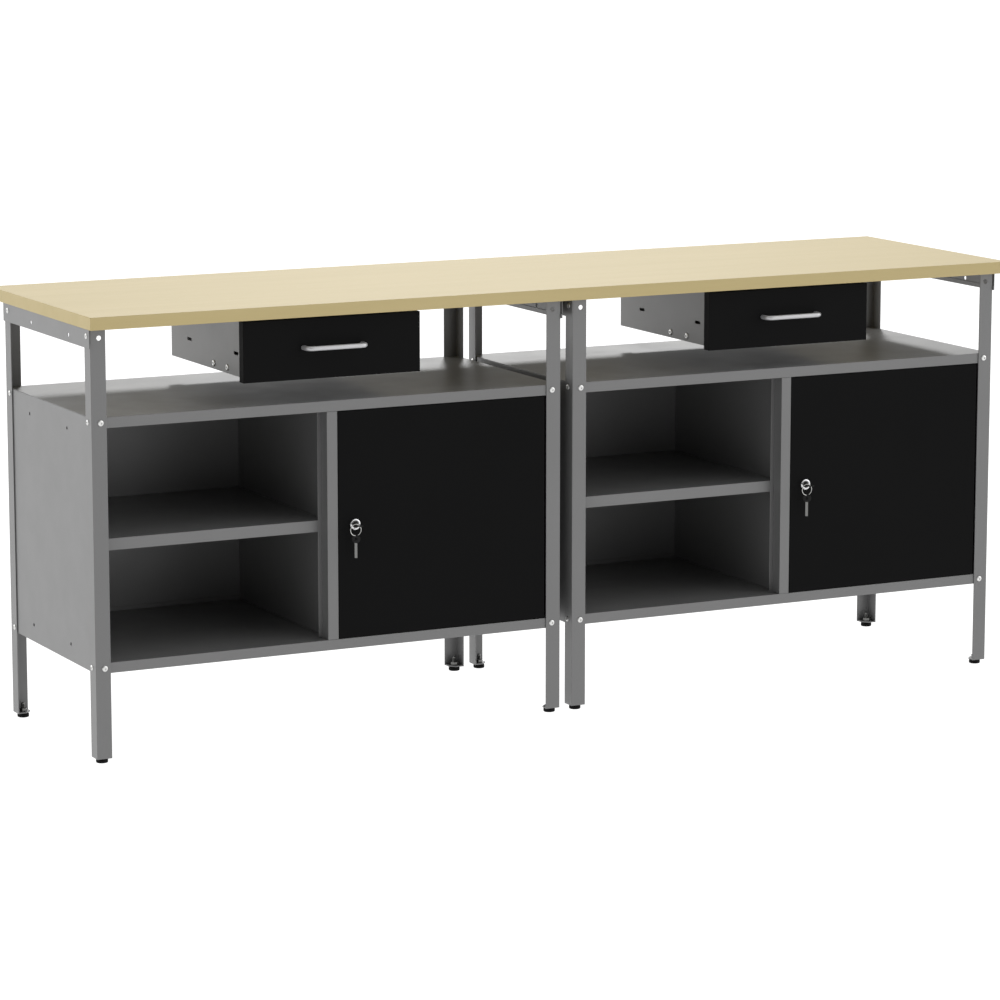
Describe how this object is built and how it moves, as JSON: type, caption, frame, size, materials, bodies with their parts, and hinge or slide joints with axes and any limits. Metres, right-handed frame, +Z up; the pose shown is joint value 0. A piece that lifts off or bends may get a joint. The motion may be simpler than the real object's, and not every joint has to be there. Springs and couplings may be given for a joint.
{
  "type": "workbench with drawers",
  "caption": "Long wooden worktop on steel angle legs, with hung drawers, open shelved bays and lockable cupboards underneath.",
  "frame": {"origin": "on the floor under the middle of the bounding box, feet at z = 0", "axes": "+X along the worktop to the right as seen from the front, +Y to the back, +Z up; drawers and doors open towards -Y"},
  "size_m": [2, 0.5544, 0.84],
  "materials": {
    "worktop_wood": "oiled laminated hardwood, satin",
    "bench_steel": "grey powder coat, slightly textured, satin",
    "black_steel": "black powder coat, satin",
    "lock_chrome": "polished",
    "handle_chrome": "satin",
    "plain_steel": "plain zinc-plated",
    "key_plastic": "black moulded",
    "foot_rubber": "black, matte"
  },
  "bodies": {
    "frame": {"worktop": "worktop_wood", "left_leg_front_left": "bench_steel", "left_leg_front_right": "bench_steel", "left_leg_back_left": "bench_steel", "left_leg_back_right": "bench_steel", "left_rail_left": "bench_steel", "left_rail_right": "bench_steel", "left_cabinet_top": "bench_steel", "left_cabinet_bottom": "bench_steel", "left_cabinet_side_left": "bench_steel", "left_cabinet_side_right": "bench_steel", "left_cabinet_back": "bench_steel", "left_divider": "bench_steel", "left_door_post": "bench_steel", "left_shelf": "bench_steel", "left_drawer_housing_left": "bench_steel", "left_drawer_housing_right": "bench_steel", "right_leg_front_left": "bench_steel", "right_leg_front_right": "bench_steel", "right_leg_back_left": "bench_steel", "right_leg_back_right": "bench_steel", "right_rail_left": "bench_steel", "right_rail_right": "bench_steel", "right_cabinet_top": "bench_steel", "right_cabinet_bottom": "bench_steel", "right_cabinet_side_left": "bench_steel", "right_cabinet_side_right": "bench_steel", "right_cabinet_back": "bench_steel", "right_divider": "bench_steel", "right_door_post": "bench_steel", "right_shelf": "bench_steel", "right_drawer_housing_left": "bench_steel", "right_drawer_housing_right": "bench_steel"},
    "left_door": {"left_door": "black_steel", "left_lock_barrel": "lock_chrome"},
    "left_lock": {"left_lock_cam": "plain_steel", "left_key": "key_plastic"},
    "left_spare_key": {"left_spare_key": "plain_steel"},
    "left_drawer": {"left_drawer_panel": "black_steel", "left_drawer_box": "bench_steel", "left_drawer_handle": "handle_chrome"},
    "left_foot_front_left": {"left_foot_front_left": "foot_rubber"},
    "left_foot_front_right": {"left_foot_front_right": "foot_rubber"},
    "left_foot_back_left": {"left_foot_back_left": "foot_rubber"},
    "left_foot_back_right": {"left_foot_back_right": "foot_rubber"},
    "right_door": {"right_door": "black_steel", "right_lock_barrel": "lock_chrome"},
    "right_lock": {"right_lock_cam": "plain_steel", "right_key": "key_plastic"},
    "right_spare_key": {"right_spare_key": "plain_steel"},
    "right_drawer": {"right_drawer_panel": "black_steel", "right_drawer_box": "bench_steel", "right_drawer_handle": "handle_chrome"},
    "right_foot_front_left": {"right_foot_front_left": "foot_rubber"},
    "right_foot_front_right": {"right_foot_front_right": "foot_rubber"},
    "right_foot_back_left": {"right_foot_back_left": "foot_rubber"},
    "right_foot_back_right": {"right_foot_back_right": "foot_rubber"}
  },
  "joints": [
    {"name": "left_door_hinge", "type": "hinge", "parent": "frame", "child": "left_door", "pos_m": [-0.064, -0.23675, 0.4115], "axis": [0, 0, 1], "range_deg": [0, 95]},
    {"name": "left_lock_turn", "type": "hinge", "parent": "left_door", "child": "left_lock", "pos_m": [-0.464, -0.24675, 0.4115], "axis": [0, -1, 0], "range_deg": [0, 90]},
    {"name": "left_spare_key_swing", "type": "hinge", "parent": "left_door", "child": "left_spare_key", "pos_m": [-0.464, -0.26275, 0.4115], "axis": [-1, 0, 0], "range_deg": [-8, 35]},
    {"name": "left_drawer_slide", "type": "slide", "parent": "frame", "child": "left_drawer", "axis": [0, -1, 0], "range_m": [0, 0.28]},
    {"name": "left_foot_front_left_turn", "type": "hinge", "parent": "frame", "child": "left_foot_front_left", "pos_m": [-0.98, -0.23175, 0.01], "axis": [0, 0, 1], "continuous": true},
    {"name": "left_foot_front_right_turn", "type": "hinge", "parent": "frame", "child": "left_foot_front_right", "pos_m": [-0.039, -0.23175, 0.01], "axis": [0, 0, 1], "continuous": true},
    {"name": "left_foot_back_left_turn", "type": "hinge", "parent": "frame", "child": "left_foot_back_left", "pos_m": [-0.98, 0.19225, 0.01], "axis": [0, 0, 1], "continuous": true},
    {"name": "left_foot_back_right_turn", "type": "hinge", "parent": "frame", "child": "left_foot_back_right", "pos_m": [-0.039, 0.19225, 0.01], "axis": [0, 0, 1], "continuous": true},
    {"name": "right_door_hinge", "type": "hinge", "parent": "frame", "child": "right_door", "pos_m": [0.934, -0.23675, 0.4115], "axis": [0, 0, 1], "range_deg": [0, 95]},
    {"name": "right_lock_turn", "type": "hinge", "parent": "right_door", "child": "right_lock", "pos_m": [0.534, -0.24675, 0.4115], "axis": [0, -1, 0], "range_deg": [0, 90]},
    {"name": "right_spare_key_swing", "type": "hinge", "parent": "right_door", "child": "right_spare_key", "pos_m": [0.534, -0.26275, 0.4115], "axis": [-1, 0, 0], "range_deg": [-8, 35]},
    {"name": "right_drawer_slide", "type": "slide", "parent": "frame", "child": "right_drawer", "axis": [0, -1, 0], "range_m": [0, 0.28]},
    {"name": "right_foot_front_left_turn", "type": "hinge", "parent": "frame", "child": "right_foot_front_left", "pos_m": [0.018, -0.23175, 0.01], "axis": [0, 0, 1], "continuous": true},
    {"name": "right_foot_front_right_turn", "type": "hinge", "parent": "frame", "child": "right_foot_front_right", "pos_m": [0.959, -0.23175, 0.01], "axis": [0, 0, 1], "continuous": true},
    {"name": "right_foot_back_left_turn", "type": "hinge", "parent": "frame", "child": "right_foot_back_left", "pos_m": [0.018, 0.19225, 0.01], "axis": [0, 0, 1], "continuous": true},
    {"name": "right_foot_back_right_turn", "type": "hinge", "parent": "frame", "child": "right_foot_back_right", "pos_m": [0.959, 0.19225, 0.01], "axis": [0, 0, 1], "continuous": true}
  ]
}
